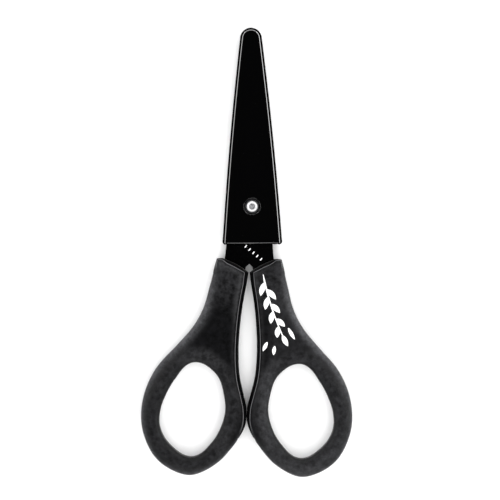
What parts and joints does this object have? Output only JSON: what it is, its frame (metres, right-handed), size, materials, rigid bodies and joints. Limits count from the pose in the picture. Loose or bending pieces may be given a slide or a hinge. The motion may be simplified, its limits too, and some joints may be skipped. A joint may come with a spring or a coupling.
{
  "type": "craft scissors with blade cover",
  "caption": "Small ring-handled scissors with riveted black blades, soft-grip handles and a slip-on blade cover, closed and lying flat.",
  "frame": {"origin": "middle of the bounding box in plan, on the surface that the handles' backs rest on", "axes": "+Y towards the blade tips, +Z out of the front face, +X towards the front blade's handle"},
  "size_m": [0.0674, 0.1436, 0.009],
  "materials": {
    "blade_coating": "satin black coating on steel",
    "rivet_steel": "bright, rolled end slightly rough",
    "washer_steel": "dull",
    "core_plastic": "smooth black moulding",
    "soft_grip": "soft-touch charcoal, finely mottled",
    "cover_plastic": "high-gloss black moulding",
    "white_print": "thin printed ink"
  },
  "bodies": {
    "pivot": {"pivot_rivet": "rivet_steel", "rivet_washer": "washer_steel"},
    "front_half": {"front_blade": "blade_coating", "front_handle_core": "core_plastic", "front_handle_grip": "soft_grip"},
    "rear_half": {"rear_blade": "blade_coating", "rear_handle_core": "core_plastic", "rear_handle_grip": "soft_grip"},
    "cover": {"blade_cover": "cover_plastic"}
  },
  "joints": [
    {"name": "front_half_turn", "type": "hinge", "parent": "pivot", "child": "front_half", "pos_m": [0.00219, 0.01469, 0.0045], "axis": [0, 0, 1], "range_deg": [0, 25]},
    {"name": "rear_half_turn", "type": "hinge", "parent": "pivot", "child": "rear_half", "pos_m": [0.00219, 0.01469, 0.0045], "axis": [0, 0, 1], "range_deg": [-25, 0]},
    {"name": "cover_slide", "type": "slide", "parent": "pivot", "child": "cover", "axis": [0, 1, 0], "range_m": [0, 0.2]}
  ],
  "couplings": [
    {"joint": "rear_half_turn", "follows": "front_half_turn", "ratio": -1},
    {"joint": "cover_slide", "follows": "front_half_turn", "m_per_rad": 0.45}
  ]
}
